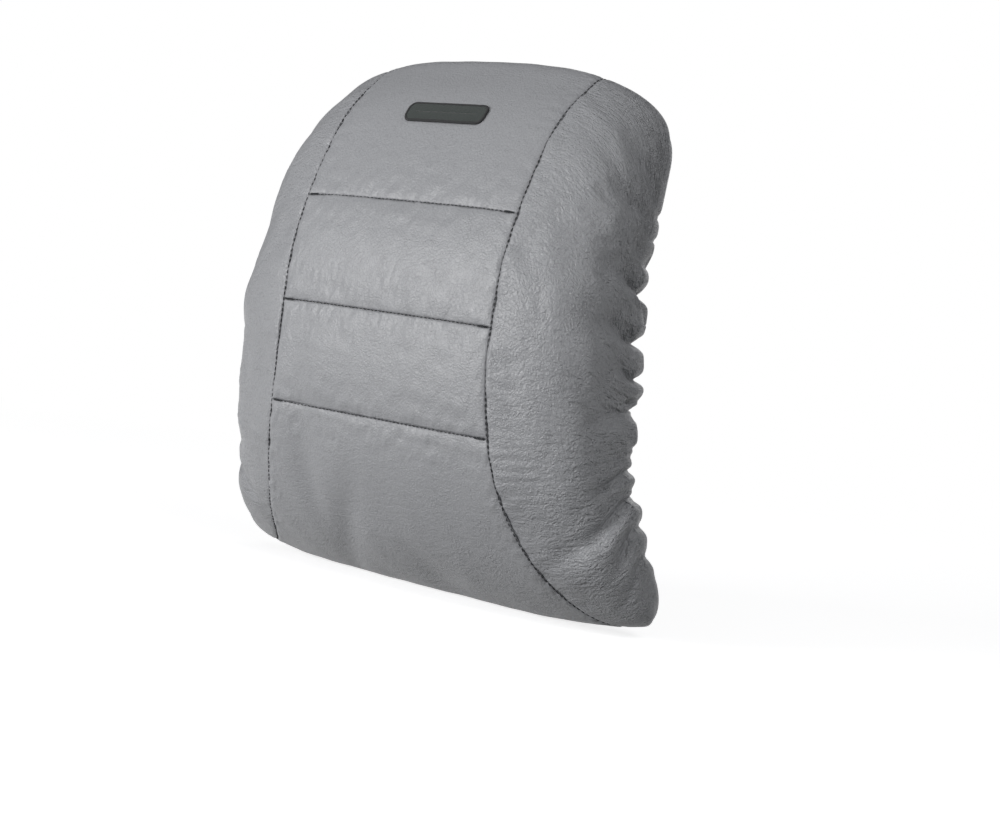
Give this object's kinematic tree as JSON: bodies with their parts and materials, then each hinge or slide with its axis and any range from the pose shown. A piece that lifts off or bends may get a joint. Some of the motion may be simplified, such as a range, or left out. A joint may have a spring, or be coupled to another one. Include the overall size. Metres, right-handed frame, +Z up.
{
  "type": "headrest neck cushion",
  "caption": "Padded neck cushion in gathered grey leather over a foam core, held in front of a car headrest by a strap, with a zip across the back.",
  "frame": {"origin": "on the flat back, halfway across and at the middle of the strap, where the strap holds the cushion to a headrest", "axes": "+Z up, +Y out of the flat back towards the headrest, +X to the right seen from the front; the leather front faces -Y"},
  "size_m": [0.2852, 0.092, 0.2836],
  "materials": {
    "leather": "satin, pebble grained",
    "badge": "matte",
    "foam": "open-cell foam",
    "back_fabric": "plain weave",
    "elastic": "ribbed elastic",
    "zip_tape": "twill tape",
    "zip_plastic": "moulded",
    "zip_metal": "nickel plated",
    "webbing": "woven webbing",
    "hook_and_loop": "hook-and-loop pile"
  },
  "bodies": {
    "cushion": {"headrest_section": "leather", "upper_neck_section": "leather", "lower_neck_section": "leather", "foot_section": "leather", "side_panel_right": "leather", "side_panel_left": "leather", "badge": "badge", "foam_core": "foam", "side_elastic_left": "elastic", "side_elastic_right": "elastic", "back_panel": "back_fabric", "lower_back_strip": "back_fabric", "zip_tape_upper": "zip_tape", "zip_tape_lower": "zip_tape", "zip_teeth_upper": "zip_plastic", "zip_teeth_lower": "zip_plastic", "zip_top_stop_upper": "zip_metal", "zip_top_stop_lower": "zip_metal", "zip_bottom_stop": "zip_metal", "headrest_strap": "webbing", "strap_tab": "webbing", "hook_patch": "hook_and_loop", "loop_patch": "hook_and_loop"},
    "slider": {"zip_slider": "zip_metal"},
    "pull": {"zip_pull": "zip_metal"}
  },
  "joints": [
    {"name": "zip_slide", "type": "slide", "parent": "cushion", "child": "slider", "axis": [-1, 0, 0], "range_m": [0, 0.166], "deforming": ["zip_teeth_upper", "zip_teeth_lower"]},
    {"name": "pull_swing", "type": "hinge", "parent": "slider", "child": "pull", "pos_m": [0.084, 0.0014, -0.092], "axis": [0, 0, -1], "range_deg": [0, 180]}
  ]
}
